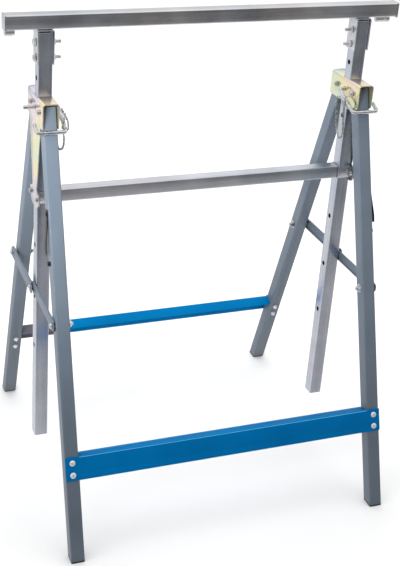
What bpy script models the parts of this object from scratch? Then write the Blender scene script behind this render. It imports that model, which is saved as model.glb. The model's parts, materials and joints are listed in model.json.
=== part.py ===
"""Folding sawhorse with a height-adjustable top bar.

Frame: metres, +Z up, X along the top bar, -Y towards the front legs.
The origin is on the floor, midway between the four feet.
Left and right sides mirror each other, and so do the front and back legs.
"""

import math

import bmesh
import bpy
from mathutils import Matrix, Vector

# ---------------------------------------------------------------- driving dimensions
SIDE_X = 0.2840            # centre plane of each post, bracket and leg
FIT_GAP = 0.0003           # clearance between pieces that touch

BAR_LENGTH = 0.7000        # over the end plates
BAR_SIZE = 0.0240
BAR_WALL = 0.0015
BAR_TOP = 0.8710
END_PLATE = 0.0020

POST_SIZE = 0.0240
POST_WALL = 0.0015
POST_BOTTOM = 0.0755
POST_TOP = 0.8415
PIN_HEIGHT = 0.7155        # also the height of the leg pivots
HOLE_HEIGHTS = (0.7648, 0.7155, 0.6648, 0.5648, 0.4648, 0.3648, 0.2648)
HOLE_RADIUS = 0.0045

SHEET = 0.0015             # brackets, links and cross bars
CHANNEL_HALF = 0.0139      # half the outside width of bracket and saddle
SADDLE_HALF_Y = 0.0150
SADDLE_BOTTOM = 0.7890
SADDLE_TOP = 0.8465
SADDLE_BOLTS = (0.8240, 0.7985)

BRACKET_HALF_Y = 0.0525
BRACKET_BOTTOM = 0.6920
BRACKET_TOP = 0.7360
BRACKET_BEND = 0.0045      # to the middle of the sheet
PLATE_CORNER = 0.0050      # lower corners of the bracket's plates
TONGUE_SHOULDER = 0.0365
TONGUE_NARROW = 0.0135
TONGUE_END = 0.0300
TONGUE_BOTTOM = 0.5400
POST_OPENING = 0.0125      # half the square opening in the bracket's top

LEG_SIZE = 0.0240
LEG_WALL = 0.0015
LEG_PIVOT_Y = 0.0294
LEG_SPLAY = math.radians(18.58)
LEG_TOP = 0.7272           # height of the leg's level upper end
FOOT_HEIGHT = 0.0020

CROSS_TOP = 0.5740         # distances down the leg from its pivot
CROSS_BOTTOM = 0.6150
CROSS_HALF_X = {"front": 0.2961, "back": 0.2935}
CROSS_FLANGE = 0.0260
CROSS_FLANGE_HALF_X = 0.2714
CROSS_SCREWS = (0.5842, 0.6052)

STAY_PIVOT = 0.3506        # distance down the leg to the stay's bolt
STAY_LENGTH = 0.1410
FRONT_LINK_HALF = 0.0095
BACK_LINK_HALF = 0.0108

MIDDLE_BAR_Z = 0.5580
MIDDLE_BAR_SIZE = 0.0230
MIDDLE_BAR_HALF_X = 0.2698
GUIDE_HALF_Z = 0.01075
GUIDE_BOLT_Y = 0.0215
GUIDE_LUG_Y = 0.0262
GUIDE_WEB = 0.0131         # inner side and arms, to the middle of the sheet
GUIDE_ARM = 0.0133

CLIP_TOP = 0.1580
CLIP_FLAT = 0.1720
CLIP_BEND = 0.2180
CLIP_BOTTOM = 0.2320
CLIP_RISE = 0.0055         # how far the strip stands off at its bend
CLIP_HALF = 0.0065
STUD_DOWN = 0.2474

PIN_RADIUS = 0.0034
PIN_OUTER_X = 0.3180
HANDLE_INNER_X = 0.2600
HANDLE_OUTER_X = 0.3078
HANDLE_CORNER = (-0.0580, -0.0255)
HANDLE_TIP = (-0.0380, -0.0165)

CHAIN_STATIONS = {         # each chain hangs in its own loop, from the plate to the handle
    "left": (
        (0.2684, 0.0185, 0.6950), (0.2655, 0.0150, 0.6820), (0.2620, 0.0040, 0.6560), (0.2595, -0.0110, 0.6440),
        (0.2580, -0.0260, 0.6490), (0.2585, -0.0390, 0.6630), (0.2610, -0.0470, 0.6800), (0.2633, -0.0480, 0.6880),
    ),
    "right": (
        (0.2684, 0.0185, 0.6950), (0.2655, 0.0150, 0.6850), (0.2630, 0.0060, 0.6660), (0.2615, -0.0040, 0.6420),
        (0.2605, -0.0190, 0.6290), (0.2585, -0.0320, 0.6430), (0.2560, -0.0310, 0.6780), (0.2552, -0.0318, 0.6950),
    ),
}

CORNER_STEPS = 3
ROUND = 12                 # sides of small round pieces


# ---------------------------------------------------------------- general helpers
def clear_scene():
    for item in list(bpy.data.objects):
        bpy.data.objects.remove(item, do_unlink=True)


def make_material(name, colour, metallic, roughness):
    material = bpy.data.materials.new(name)
    material.use_nodes = True
    shader = material.node_tree.nodes["Principled BSDF"]
    shader.inputs["Base Color"].default_value = (*colour, 1.0)
    shader.inputs["Metallic"].default_value = metallic
    shader.inputs["Roughness"].default_value = roughness
    return material


def make_empty(name, location, angle=0.0, parent=None):
    """An empty on a joint axis that runs along X."""
    empty = bpy.data.objects.new(name, None)
    bpy.context.collection.objects.link(empty)
    empty.parent = parent
    empty.location = location
    empty.rotation_euler = (angle, 0.0, 0.0)
    return empty


def make_object(name, mesh_data, finish, location=(0.0, 0.0, 0.0), turn=0.0, parent=None):
    """Link one named piece with a material of its own."""
    mesh = bpy.data.meshes.new(name)
    mesh_data.to_mesh(mesh)
    mesh_data.free()
    piece = bpy.data.objects.new(name, mesh)
    bpy.context.collection.objects.link(piece)
    piece.location = location
    piece.rotation_euler = (0.0, 0.0, turn)
    piece.parent = parent
    mesh.materials.append(make_material(name + "_finish", *finish))
    return piece


def skin(rings, closed=False, target=None):
    """Join rings of equal point count into one closed skin."""
    data = target or bmesh.new()
    count = len(rings[0])
    loops = [[data.verts.new(point) for point in ring] for ring in rings]
    last = len(loops) if closed else len(loops) - 1
    for index in range(last):
        near = loops[index]
        far = loops[(index + 1) % len(loops)]
        for step in range(count):
            following = (step + 1) % count
            data.faces.new((near[step], near[following], far[following], far[step]))
    if not closed:
        data.faces.new(loops[0])
        data.faces.new(loops[-1])
    bmesh.ops.recalc_face_normals(data, faces=data.faces)
    return data


def rounded_square(half_a, half_b, radius):
    """Corner-rounded rectangle, anticlockwise, as flat (a, b) pairs."""
    points = []
    corners = ((1, 1, 0.0), (-1, 1, 90.0), (-1, -1, 180.0), (1, -1, 270.0))
    for sign_a, sign_b, start in corners:
        centre_a = sign_a * (half_a - radius)
        centre_b = sign_b * (half_b - radius)
        for step in range(CORNER_STEPS + 1):
            angle = math.radians(start + 90.0 * step / CORNER_STEPS)
            points.append((centre_a + radius * math.cos(angle), centre_b + radius * math.sin(angle)))
    return points


def square_tube(half_a, half_b, wall, radius, low, high, place):
    """Hollow tube with open ends; low and high give each end for a point (a, b)."""
    outer = rounded_square(half_a, half_b, radius)
    inner = rounded_square(half_a - wall, half_b - wall, max(radius - wall, 0.0006))
    rings = []
    for profile, end in ((outer, low), (outer, high), (inner, high), (inner, low)):
        rings.append([place(a, b, end(a, b)) for a, b in profile])
    return skin(rings, closed=True)


def turned(sections, sides=ROUND):
    """Stack of discs along local X: (x, radius, shape) with shape round or hex."""
    rings = []
    for along, radius, shape in sections:
        ring = []
        for step in range(sides):
            angle = 2.0 * math.pi * step / sides
            reach = radius
            if shape == "hex":
                offset = (angle + math.pi / 6.0) % (math.pi / 3.0) - math.pi / 6.0
                reach = radius * math.cos(math.pi / 6.0) / math.cos(math.pi / 6.0 - abs(offset))
            ring.append((along, reach * math.cos(angle), reach * math.sin(angle)))
        rings.append(ring)
    return skin(rings)


def rounded_path(points, radius, steps):
    """Polyline whose inner corners are replaced by arcs."""
    path = [Vector(points[0])]
    for index in range(1, len(points) - 1):
        corner = Vector(points[index])
        back = (Vector(points[index - 1]) - corner).normalized()
        ahead = (Vector(points[index + 1]) - corner).normalized()
        half_angle = back.angle(ahead) / 2.0
        reach = radius / math.tan(half_angle)
        centre = corner + (back + ahead).normalized() * radius / math.sin(half_angle)
        first = corner + back * reach - centre
        final = corner + ahead * reach - centre
        sweep = first.angle(final)
        for step in range(steps + 1):
            share = step / steps
            mixed = first * math.sin((1.0 - share) * sweep) + final * math.sin(share * sweep)
            path.append(centre + mixed / math.sin(sweep))
    path.append(Vector(points[-1]))
    return path


def rod(points, radius, sides):
    """Round rod swept along a path of 3-D points."""
    rings = []
    direction = (points[1] - points[0]).normalized()
    side = direction.orthogonal().normalized()
    for index, point in enumerate(points):
        before = points[max(index - 1, 0)]
        after = points[min(index + 1, len(points) - 1)]
        turned_to = (after - before).normalized()
        side = (direction.rotation_difference(turned_to) @ side).normalized()
        direction = turned_to
        other = direction.cross(side).normalized()
        ring = []
        for step in range(sides):
            angle = 2.0 * math.pi * step / sides
            ring.append(point + radius * (math.cos(angle) * side + math.sin(angle) * other))
        rings.append(ring)
    return skin(rings)


def bent_sheet(points, radius, extent, place, thickness=SHEET, leading=(), extras=()):
    """Sheet folded along a flat path.

    extent(u, v) gives the low and high edge of the sheet at a path point, and
    leading and extras are straight stations before the first and after the last point.
    """
    flat = [Vector((u, v, 0.0)) for u, v in leading]
    flat += rounded_path([(u, v, 0.0) for u, v in points], radius, CORNER_STEPS)
    flat += [Vector((u, v, 0.0)) for u, v in extras]
    rings = []
    for index, point in enumerate(flat):
        before = flat[max(index - 1, 0)]
        after = flat[min(index + 1, len(flat) - 1)]
        along = (after - before).normalized()
        normal = Vector((-along.y, along.x, 0.0)) * thickness / 2.0
        low, high = extent(point.x, point.y)
        left = point + normal
        right = point - normal
        corners = ((left, low), (left, high), (right, high), (right, low))
        rings.append([place(spot.x, spot.y, edge) for spot, edge in corners])
    return skin(rings)


def add_cutter(piece, data, operation):
    """Boolean with a helper solid given in the piece's own coordinates."""
    mesh = bpy.data.meshes.new(piece.name + "_tool")
    data.to_mesh(mesh)
    data.free()
    tool = bpy.data.objects.new(piece.name + "_tool", mesh)
    bpy.context.collection.objects.link(tool)
    tool.parent = piece
    tool.hide_render = True
    tool.display_type = "WIRE"
    modifier = piece.modifiers.new("shape", "BOOLEAN")
    modifier.object = tool
    modifier.operation = operation
    modifier.solver = "EXACT"


def drill(piece, holes, sides=ROUND):
    """Cut round holes: each is (centre, axis letter, radius, half length)."""
    data = bmesh.new()
    turns = {"X": Matrix.Rotation(math.pi / 2.0, 4, "Y"), "Y": Matrix.Rotation(math.pi / 2.0, 4, "X")}
    for centre, axis, radius, half_length in holes:
        bmesh.ops.create_cone(
            data,
            cap_ends=True,
            segments=sides,
            radius1=radius,
            radius2=radius,
            depth=2.0 * half_length,
            matrix=Matrix.Translation(centre) @ turns[axis],
        )
    add_cutter(piece, data, "DIFFERENCE")


def block(low, high, target=None):
    """Plain box between two corners."""
    rings = []
    for z in (low[2], high[2]):
        rings.append([(low[0], low[1], z), (high[0], low[1], z), (high[0], high[1], z), (low[0], high[1], z)])
    return skin(rings, target=target)


def facing(side):
    """Turn about Z that points local X to the given side of the object."""
    return 0.0 if side > 0 else math.pi


# ---------------------------------------------------------------- finishes
BRIGHT_ZINC = ((0.72, 0.74, 0.76), 1.0, 0.28)
TUBE_ZINC = ((0.55, 0.57, 0.60), 1.0, 0.22)
YELLOW_ZINC = ((0.80, 0.68, 0.42), 1.0, 0.32)
DARK_STEEL = ((0.05, 0.05, 0.055), 1.0, 0.40)
GREY_PAINT = ((0.11, 0.135, 0.17), 0.0, 0.42)
BLUE_PAINT = ((0.00, 0.13, 0.35), 0.0, 0.38)
BLACK_PLASTIC = ((0.02, 0.02, 0.022), 0.0, 0.55)


# ---------------------------------------------------------------- top assembly
def build_top(slide):
    bar_end = BAR_LENGTH / 2.0 - END_PLATE - FIT_GAP
    bar_middle = BAR_TOP - BAR_SIZE / 2.0
    half = BAR_SIZE / 2.0
    tube = square_tube(
        half, half, BAR_WALL, 0.0024,
        lambda a, b: -bar_end, lambda a, b: bar_end,
        lambda a, b, x: (x, a, b),
    )
    make_object("top_bar", tube, TUBE_ZINC, (0.0, 0.0, bar_middle), parent=slide)

    for side, word in ((-1, "left"), (1, "right")):
        turn = facing(side)
        build_end_stop(slide, side, word)

        edge = CHANNEL_HALF - SHEET / 2.0
        crown = SADDLE_TOP - SHEET / 2.0
        saddle = bent_sheet(
            ((-edge, SADDLE_BOTTOM), (-edge, crown), (edge, crown), (edge, SADDLE_BOTTOM)),
            0.0028,
            lambda u, v: (-SADDLE_HALF_Y, SADDLE_HALF_Y),
            lambda u, v, w: (u, w, v),
        )
        piece = make_object("saddle_" + word, saddle, BRIGHT_ZINC, (side * SIDE_X, 0.0, 0.0), turn, slide)
        drill(piece, [((0.0, 0.0, z), "X", 0.0033, 0.030) for z in SADDLE_BOLTS])

        half_post = POST_SIZE / 2.0
        post = square_tube(
            half_post, half_post, POST_WALL, 0.0021,
            lambda a, b: POST_BOTTOM, lambda a, b: POST_TOP,
            lambda a, b, z: (a, b, z),
        )
        piece = make_object("post_" + word, post, TUBE_ZINC, (side * SIDE_X, 0.0, 0.0), turn, slide)
        holes = [((0.0, 0.0, z), "X", HOLE_RADIUS, 0.030) for z in HOLE_HEIGHTS]
        holes += [((0.0, 0.0, z), "X", 0.0033, 0.030) for z in SADDLE_BOLTS]
        drill(piece, holes)

        # hex-headed upper bolt, wide round-headed lower bolt, nuts on the inner side
        outer = CHANNEL_HALF + FIT_GAP
        heads = ((0.0072, "hex", "upper"), (0.0075, "round", "lower"))
        for (radius, shape, level), z in zip(heads, SADDLE_BOLTS):
            bolt = turned((
                (outer + 0.0040, radius * 0.90, shape),
                (outer + 0.0034, radius, shape),
                (outer, radius, shape),
                (outer, 0.0030, "round"),
                (-outer, 0.0030, "round"),
                (-outer, 0.0062, "hex"),
                (-outer - 0.0042, 0.0062, "hex"),
                (-outer - 0.0042, 0.0030, "round"),
                (-outer - 0.0130, 0.0030, "round"),
                (-outer - 0.0138, 0.0023, "round"),
            ))
            name = "saddle_bolt_" + level + "_" + word
            make_object(name, bolt, BRIGHT_ZINC, (side * SIDE_X, 0.0, z), turn, slide)


def build_end_stop(slide, side, word):
    """End plate with a lip under the bar that carries a short round barrel."""
    outer = BAR_LENGTH / 2.0
    plate_bottom = BAR_TOP - BAR_SIZE - 0.0018
    lip_top = BAR_TOP - BAR_SIZE - FIT_GAP
    barrel_far = 0.3488 if side < 0 else 0.3397
    barrel_near = 0.3321 if side < 0 else 0.3131
    knob = 0.3365 if side < 0 else 0.3327
    barrel_z = 0.8413
    plate = block(
        (outer - END_PLATE, -0.0125, plate_bottom),
        (outer, 0.0125, BAR_TOP + 0.0005),
    )
    piece = make_object("end_stop_" + word, plate, TUBE_ZINC, turn=facing(side), parent=slide)
    add_cutter(piece, block((0.3150, -0.0040, lip_top - 0.0014), (outer - 0.0004, 0.0040, lip_top)), "UNION")
    barrel = turned((
        (barrel_near, 0.0044, "round"),
        (barrel_near + 0.0008, 0.0050, "round"),
        (knob, 0.0050, "round"),
        (knob, 0.0053, "round"),
        (barrel_far - 0.0010, 0.0053, "round"),
        (barrel_far, 0.0045, "round"),
    ))
    bmesh.ops.translate(barrel, verts=barrel.verts, vec=(0.0, 0.0, barrel_z))
    add_cutter(piece, barrel, "UNION")


# ---------------------------------------------------------------- head assembly
def tongue_edges(u, v):
    """Half-width of the bracket's sheet at height v, wide above and tapered below."""
    if u < 0.0 or v > BRACKET_BOTTOM - 0.0001:
        rise = min(v - BRACKET_BOTTOM, PLATE_CORNER)
        cut = PLATE_CORNER - math.sqrt(max(PLATE_CORNER ** 2 - (PLATE_CORNER - rise) ** 2, 0.0))
        return (cut - BRACKET_HALF_Y, BRACKET_HALF_Y - cut)
    shoulder = BRACKET_BOTTOM - 0.0030
    narrow = 0.5740
    lobe = 0.5650
    if v > narrow:
        share = max(shoulder - v, 0.0) / (shoulder - narrow)
        half = TONGUE_SHOULDER + (TONGUE_NARROW - TONGUE_SHOULDER) * share
    elif v > lobe:
        half = TONGUE_NARROW + (TONGUE_END - TONGUE_NARROW) * (narrow - v) / (narrow - lobe)
    else:
        drop = (lobe - v) / (lobe - TONGUE_BOTTOM)
        half = TONGUE_END * (0.42 + 0.58 * math.sqrt(max(1.0 - drop * drop, 0.0)))
    return (-half, half)


def build_head(root):
    tube = square_tube(
        MIDDLE_BAR_SIZE / 2.0, MIDDLE_BAR_SIZE / 2.0, 0.0015, 0.0024,
        lambda a, b: -MIDDLE_BAR_HALF_X, lambda a, b: MIDDLE_BAR_HALF_X,
        lambda a, b, x: (x, a, b),
    )
    make_object("middle_bar", tube, TUBE_ZINC, (0.0, 0.0, MIDDLE_BAR_Z), parent=root)

    edge = CHANNEL_HALF - SHEET / 2.0
    crown = BRACKET_TOP - SHEET / 2.0
    corner = [BRACKET_BOTTOM + PLATE_CORNER * share for share in (0.0, 0.08, 0.3, 0.6, 1.0)]
    tongue_heights = (0.6890, 0.5740, 0.5650, 0.5600, 0.5540, 0.5480, 0.5430, 0.5408, TONGUE_BOTTOM)
    outer = CHANNEL_HALF + FIT_GAP
    for side, word in ((-1, "left"), (1, "right")):
        turn = facing(side)
        place = (side * SIDE_X, 0.0, 0.0)
        bracket = bent_sheet(
            ((-edge, corner[-1]), (-edge, crown), (edge, crown), (edge, corner[-1])),
            BRACKET_BEND,
            tongue_edges,
            lambda u, v, w: (u, w, v),
            leading=[(-edge, z) for z in corner[:-1]],
            extras=[(edge, z) for z in (*reversed(corner[:-1]), *tongue_heights)],
        )
        piece = make_object("head_bracket_" + word, bracket, YELLOW_ZINC, place, turn, root)
        wall = CHANNEL_HALF - SHEET - 0.00005
        opening = block((-wall, -POST_OPENING, BRACKET_TOP - 0.0060), (wall, POST_OPENING, BRACKET_TOP + 0.01))
        add_cutter(piece, opening, "DIFFERENCE")
        holes = [((0.0, y, PIN_HEIGHT), "X", 0.0033, 0.030) for y in (-LEG_PIVOT_Y, LEG_PIVOT_Y)]
        holes.append(((0.0, 0.0, PIN_HEIGHT), "X", 0.0040, 0.030))
        holes += [((edge, y, MIDDLE_BAR_Z), "X", 0.0027, 0.004) for y in (-GUIDE_BOLT_Y, GUIDE_BOLT_Y)]
        drill(piece, holes)

        # guide folded round the post and bolted to the tongue
        lug = CHANNEL_HALF - SHEET * 1.5 - FIT_GAP
        corners = ((-GUIDE_WEB, -GUIDE_ARM), (-GUIDE_WEB, GUIDE_ARM))
        guide = bent_sheet(
            ((lug, -GUIDE_LUG_Y), (lug, -GUIDE_ARM), *corners, (lug, GUIDE_ARM), (lug, GUIDE_LUG_Y)),
            0.0018,
            lambda u, v: (-GUIDE_HALF_Z, GUIDE_HALF_Z),
            lambda u, v, w: (u, v, w),
        )
        spot = (side * SIDE_X, 0.0, MIDDLE_BAR_Z)
        piece = make_object("post_guide_" + word, guide, YELLOW_ZINC, spot, turn, root)
        drill(piece, [((lug, y, 0.0), "X", 0.0027, 0.004) for y in (-GUIDE_BOLT_Y, GUIDE_BOLT_Y)])

        for row, row_word in ((-1, "front"), (1, "back")):
            bolt = turned((
                (outer + 0.0038, 0.0036, "round"),
                (outer + 0.0030, 0.0045, "round"),
                (outer, 0.0045, "round"),
                (outer, 0.0030, "round"),
                (-outer, 0.0030, "round"),
                (-outer, 0.0050, "hex"),
                (-outer - 0.0032, 0.0050, "hex"),
                (-outer - 0.0032, 0.0028, "round"),
                (-outer - 0.0056, 0.0024, "round"),
            ))
            name = "leg_pivot_bolt_" + row_word + "_" + word
            spot = (side * SIDE_X, row * LEG_PIVOT_Y, PIN_HEIGHT)
            make_object(name, bolt, BRIGHT_ZINC, spot, turn, root)

            bolt = turned((
                (outer + 0.0040, 0.0034, "round"),
                (outer + 0.0032, 0.0042, "round"),
                (outer, 0.0042, "round"),
                (outer, 0.0024, "round"),
                (0.0103, 0.0024, "round"),
                (0.0103, 0.0046, "hex"),
                (0.0063, 0.0046, "hex"),
                (0.0063, 0.0023, "round"),
                (0.0045, 0.0019, "round"),
            ))
            name = "guide_bolt_" + row_word + "_" + word
            spot = (side * SIDE_X, row * GUIDE_BOLT_Y, MIDDLE_BAR_Z)
            make_object(name, bolt, BRIGHT_ZINC, spot, turn, root)

        build_chain(root, side, word)


def build_chain(root, side, word):
    """Keeper chain from the bracket's inner plate to the pin's handle, as one round cord."""
    corners = [Vector((side * x, y, z)) for x, y, z in CHAIN_STATIONS[word]]
    path = [corners[0]]
    for index in range(len(corners) - 1):
        before = corners[max(index - 1, 0)]
        start = corners[index]
        end = corners[index + 1]
        after = corners[min(index + 2, len(corners) - 1)]
        for step in range(1, 4):
            share = step / 3.0
            lead = (end - before) * 0.5
            trail = (after - start) * 0.5
            square = share * share
            cube = square * share
            path.append(
                start * (2.0 * cube - 3.0 * square + 1.0)
                + lead * (cube - 2.0 * square + share)
                + end * (3.0 * square - 2.0 * cube)
                + trail * (cube - square)
            )
    make_object("pin_chain_" + word, rod(path, 0.0013, 8), BRIGHT_ZINC, parent=root)


# ---------------------------------------------------------------- locking pins
def build_pin(pivot, side, word):
    """Bent handle with its rod, and the rod's free end outside the post."""
    post_face = POST_SIZE / 2.0
    corner = HANDLE_CORNER
    tip = HANDLE_TIP
    handle = rounded_path(
        (
            (SIDE_X - post_face - 0.0005, 0.0, 0.0),
            (HANDLE_INNER_X, 0.0, 0.0),
            (HANDLE_INNER_X, corner[0], corner[1]),
            (HANDLE_OUTER_X, corner[0], corner[1]),
            (HANDLE_OUTER_X, tip[0], tip[1]),
        ),
        0.0050,
        4,
    )
    path = [Vector((side * point.x, point.y, point.z)) for point in handle]
    make_object("lock_pin_" + word, rod(path, PIN_RADIUS, 10), BRIGHT_ZINC, parent=pivot)
    end = turned((
        (SIDE_X + post_face + 0.0004, PIN_RADIUS, "round"),
        (PIN_OUTER_X - 0.0020, PIN_RADIUS, "round"),
        (PIN_OUTER_X, PIN_RADIUS * 0.55, "round"),
    ))
    make_object("lock_pin_end_" + word, end, BRIGHT_ZINC, turn=facing(side), parent=pivot)


# ---------------------------------------------------------------- leg frames
def build_frame(fold, row, row_word):
    """Two legs, their feet, a cross bar and bolts, in the frame's splayed coordinates."""
    splay = row * LEG_SPLAY
    half = LEG_SIZE / 2.0

    def down_to(height):
        """Local Z of a horizontal cut at a height above the floor."""
        return lambda a, b: (height - PIN_HEIGHT - b * math.sin(splay)) / math.cos(splay)

    for side, word in ((-1, "left"), (1, "right")):
        turn = facing(side)
        place = (side * SIDE_X, 0.0, 0.0)
        leg = square_tube(
            half, half, LEG_WALL, 0.0026,
            down_to(FOOT_HEIGHT + FIT_GAP), down_to(LEG_TOP),
            lambda a, b, z: (a, b, z),
        )
        name = "leg_" + row_word + "_" + word
        piece = make_object(name, leg, GREY_PAINT, place, 0.0, fold)
        if row < 0:
            stud = turned((
                (half - 0.0008, 0.0040, "round"),
                (half + 0.0042, 0.0040, "round"),
                (half + 0.0050, 0.0032, "round"),
            ))
            bmesh.ops.rotate(stud, verts=stud.verts, matrix=Matrix.Rotation(turn, 3, "Z"))
            bmesh.ops.translate(stud, verts=stud.verts, vec=(0.0, 0.0, -STUD_DOWN))
            add_cutter(piece, stud, "UNION")
        holes = [((0.0, 0.0, 0.0), "X", 0.0033, 0.020), ((0.0, 0.0, -STAY_PIVOT), "X", 0.0033, 0.020)]
        holes += [((0.0, 0.0, -down), "Y", 0.0025, 0.020) for down in CROSS_SCREWS]
        drill(piece, holes)

        outer_profile = rounded_square(half + 0.0002, half + 0.0002, 0.0028)
        plug = half - LEG_WALL - FIT_GAP
        inner_profile = rounded_square(plug, plug, 0.0010)
        rings = []
        for profile, height in ((outer_profile, 0.0), (outer_profile, FOOT_HEIGHT), (inner_profile, FOOT_HEIGHT)):
            cut = down_to(height)
            rings.append([(a, b, cut(a, b)) for a, b in profile])
        rings.append([(a, b, -0.7200) for a, b in inner_profile])
        make_object("foot_" + row_word + "_" + word, skin(rings), BLACK_PLASTIC, place, 0.0, fold)

        build_stay_bolt(fold, row, row_word, side, word)

        # cross bar screws, heads outside the web and nuts on the legs' inner faces
        web = half + FIT_GAP + SHEET + FIT_GAP
        for down, level_word in zip(CROSS_SCREWS, ("upper", "lower")):
            screw = turned((
                (web + 0.0026, 0.0028, "round"),
                (web + 0.0019, 0.0045, "round"),
                (web, 0.0052, "round"),
                (web, 0.0022, "round"),
                (-half - FIT_GAP, 0.0022, "round"),
                (-half - FIT_GAP, 0.0046, "hex"),
                (-half - 0.0035, 0.0046, "hex"),
                (-half - 0.0035, 0.0022, "round"),
                (-half - 0.0060, 0.0018, "round"),
            ))
            name = "cross_screw_" + level_word + "_" + row_word + "_" + word
            spot = (side * (SIDE_X - 0.0002), 0.0, -down)
            make_object(name, screw, BRIGHT_ZINC, spot, row * math.pi / 2.0, fold)

        if row < 0:
            build_clip(fold, side, word)

    build_cross_bar(fold, row, row_word)


def build_cross_bar(fold, row, row_word):
    """Pressed angle: a web across the legs' outer faces and a flange between the legs."""
    half = LEG_SIZE / 2.0
    near = half + FIT_GAP
    far = near + SHEET
    outline = rounded_square(CROSS_HALF_X[row_word], (CROSS_BOTTOM - CROSS_TOP) / 2.0, 0.0030)
    centre = -(CROSS_TOP + CROSS_BOTTOM) / 2.0
    web = skin([[(x, row * y, centre + z) for x, z in outline] for y in (near, far)])
    piece = make_object(row_word + "_cross_bar", web, BLUE_PAINT, parent=fold)
    top = -CROSS_TOP - 0.0002
    flange_end = far - CROSS_FLANGE
    low = (-CROSS_FLANGE_HALF_X, min(row * flange_end, row * (near + 0.0008)), top - SHEET)
    high = (CROSS_FLANGE_HALF_X, max(row * flange_end, row * (near + 0.0008)), top)
    add_cutter(piece, block(low, high), "UNION")
    holes = []
    for side in (-1, 1):
        for down in CROSS_SCREWS:
            holes.append(((side * (SIDE_X - 0.0002), row * near, -down), "Y", 0.0025, 0.006))
    drill(piece, holes)


def build_stay_bolt(fold, row, row_word, side, word):
    """Pivot bolt of a stay link, with washer and nut on the leg's inner side."""
    half = LEG_SIZE / 2.0
    if row < 0:
        head = 0.0163
        collar = ((head, 0.0030, "round"),)
    else:
        head = 0.0208
        collar = (
            (head, 0.0030, "round"),
            (head - 0.0021, 0.0030, "round"),
            (head - 0.0021, 0.0060, "round"),
            (half + FIT_GAP, 0.0060, "round"),
            (half + FIT_GAP, 0.0030, "round"),
        )
    inner = -half - FIT_GAP
    bolt = turned((
        (head + 0.0040, 0.0040, "round"),
        (head + 0.0030, 0.0050, "round"),
        (head, 0.0050, "round"),
        *collar,
        (inner, 0.0030, "round"),
        (inner, 0.0085, "round"),
        (inner - 0.0010, 0.0085, "round"),
        (inner - 0.0010, 0.0056, "hex"),
        (inner - 0.0048, 0.0056, "hex"),
        (inner - 0.0048, 0.0029, "round"),
        (inner - 0.0080, 0.0024, "round"),
    ))
    spot = (side * SIDE_X, 0.0, -STAY_PIVOT)
    make_object("stay_bolt_" + row_word + "_" + word, bolt, BRIGHT_ZINC, spot, facing(side), fold)


def build_clip(fold, side, word):
    """Spring strip riveted to the front leg's outer face and standing off it further down."""
    face = LEG_SIZE / 2.0 + FIT_GAP + 0.0005
    strip = bent_sheet(
        ((face, -CLIP_TOP), (face, -CLIP_FLAT), (face + CLIP_RISE, -CLIP_BEND), (face + CLIP_RISE, -CLIP_BOTTOM)),
        0.0060,
        lambda u, v: (-CLIP_HALF, CLIP_HALF),
        lambda u, v, w: (u, w, v),
        thickness=0.0010,
    )
    piece = make_object("transport_clip_" + word, strip, DARK_STEEL, (side * SIDE_X, 0.0, 0.0), facing(side), fold)
    rivet = turned((
        (face - 0.0002, 0.0038, "round"),
        (face + 0.0016, 0.0038, "round"),
        (face + 0.0022, 0.0028, "round"),
    ))
    bmesh.ops.translate(rivet, verts=rivet.verts, vec=(0.0, 0.0, -CLIP_TOP - 0.0080))
    add_cutter(piece, rivet, "UNION")


# ---------------------------------------------------------------- folding stays
def build_link(joint, row, row_word, side, word, half, web_outer):
    """Channel-shaped link with round ends, open towards the leg."""
    thickness = SHEET
    web = web_outer - thickness / 2.0
    lip = web_outer - (0.0040 if row > 0 else 0.0035)
    edge = half - thickness / 2.0

    def reach(u, v):
        bulge = math.sqrt(max(half * half - v * v, 0.0))
        if row < 0:
            return (-bulge, STAY_LENGTH + bulge)
        return (-STAY_LENGTH - bulge, bulge)

    heights = [edge * share for share in (-0.92, -0.75, -0.5, -0.25, 0.25, 0.5, 0.75, 0.92)]
    points = [(lip, -edge), (web, -edge), (web, edge), (lip, edge)]
    flat = rounded_path([(u, v, 0.0) for u, v in points], 0.0012, CORNER_STEPS)
    middle = len(flat) // 2
    inner = [Vector((web, v, 0.0)) for v in heights if abs(v) < abs(flat[middle].y) - 0.0001]
    flat = flat[:middle] + inner + flat[middle:]
    rings = []
    for index, point in enumerate(flat):
        before = flat[max(index - 1, 0)]
        after = flat[min(index + 1, len(flat) - 1)]
        along = (after - before).normalized()
        normal = Vector((-along.y, along.x, 0.0)) * thickness / 2.0
        low, high = reach(point.x, point.y)
        left = point + normal
        right = point - normal
        corners = ((left, low), (left, high), (right, high), (right, low))
        rings.append([(spot.x, edge_y, spot.y) for spot, edge_y in corners])
    data = skin(rings)
    if side < 0:
        bmesh.ops.scale(data, verts=data.verts, vec=(-1.0, 1.0, 1.0))
        bmesh.ops.recalc_face_normals(data, faces=data.faces)
    name = "stay_" + row_word + "_" + word
    piece = make_object(name, data, GREY_PAINT, (side * SIDE_X, 0.0, 0.0), 0.0, joint)
    centre = side * web
    far_end = STAY_LENGTH if row < 0 else -STAY_LENGTH
    drill(piece, [((centre, y, 0.0), "X", 0.0033, 0.004) for y in (0.0, far_end)])


def build_stays(joint, row, row_word):
    for side, word in ((-1, "left"), (1, "right")):
        if row < 0:
            build_link(joint, row, row_word, side, word, FRONT_LINK_HALF, 0.0160)
            continue
        build_link(joint, row, row_word, side, word, BACK_LINK_HALF, 0.0205)
        rivet = turned((
            (0.0228, 0.0036, "round"),
            (0.0220, 0.0050, "round"),
            (0.0208, 0.0050, "round"),
            (0.0208, 0.0030, "round"),
            (0.0163, 0.0030, "round"),
        ))
        spot = (side * SIDE_X, -STAY_LENGTH, 0.0)
        make_object("stay_rivet_" + word, rivet, BRIGHT_ZINC, spot, facing(side), joint)


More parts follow.
